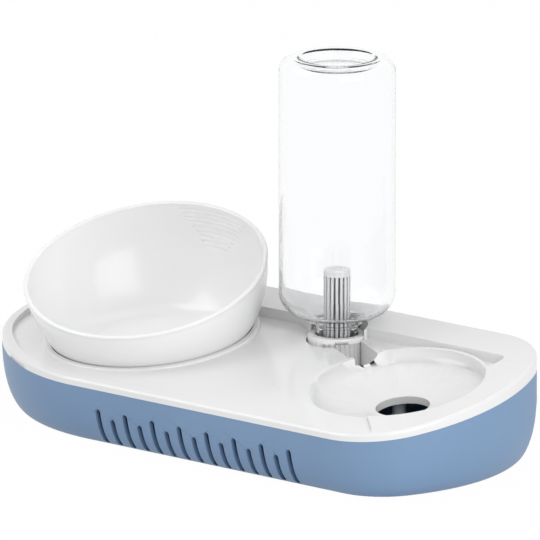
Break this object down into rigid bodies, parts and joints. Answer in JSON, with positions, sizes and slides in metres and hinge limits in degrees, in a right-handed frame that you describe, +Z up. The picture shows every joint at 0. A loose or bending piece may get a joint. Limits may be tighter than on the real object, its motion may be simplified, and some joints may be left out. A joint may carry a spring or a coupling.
{
  "type": "pet food and water dispenser",
  "caption": "Wedge-shaped pet station with a tilted lift-out food bowl and an upright clear bottle whose strainer and valve feed a dished water basin.",
  "frame": {"origin": "on the floor, under the middle of the housing's length and width", "axes": "+X along the station from the food bowl to the water basin, +Y towards the back where the bottle stands, +Z up"},
  "size_m": [0.3622, 0.1621, 0.228],
  "materials": {
    "blue_shell": "satin",
    "white_tray": "gloss",
    "white_bowl": "gloss",
    "white_cap": "gloss",
    "white_strainer": "satin",
    "white_valve": "satin",
    "clear_bottle": "clear gloss",
    "foot_rubber": "matt",
    "seat_silicone": "matt",
    "gasket_silicone": "matt",
    "filter_foam": "matt",
    "screw_steel": "satin",
    "spring_steel": "satin"
  },
  "bodies": {
    "base": {"base_shell": "blue_shell", "top_tray": "white_tray", "rubber_foot_lf": "foot_rubber", "rubber_foot_lb": "foot_rubber", "rubber_foot_rf": "foot_rubber", "rubber_foot_rb": "foot_rubber", "base_screws": "screw_steel", "bowl_seat_ring": "seat_silicone"},
    "bowl": {"food_bowl": "white_bowl"},
    "bottle": {"water_bottle": "clear_bottle", "bottle_cap": "white_cap", "cap_gasket": "gasket_silicone", "strainer_cage": "white_strainer", "filter_core": "filter_foam", "valve_spring": "spring_steel"},
    "valve": {"valve_plunger": "white_valve", "valve_seal": "gasket_silicone"}
  },
  "joints": [
    {"name": "bowl_lift", "type": "slide", "parent": "base", "child": "bowl", "axis": [0, -0.1478, 0.989], "range_m": [0, 0.08]},
    {"name": "bottle_lift", "type": "slide", "parent": "base", "child": "bottle", "axis": [0, 0, 1], "range_m": [0, 0.06]},
    {"name": "valve_drop", "type": "slide", "parent": "bottle", "child": "valve", "axis": [0, 0, 1], "range_m": [-0.0025, 0], "deforming": ["valve_spring"]}
  ],
  "couplings": [
    {"joint": "valve_drop", "follows": "bottle_lift", "ratio": -0.04}
  ]
}
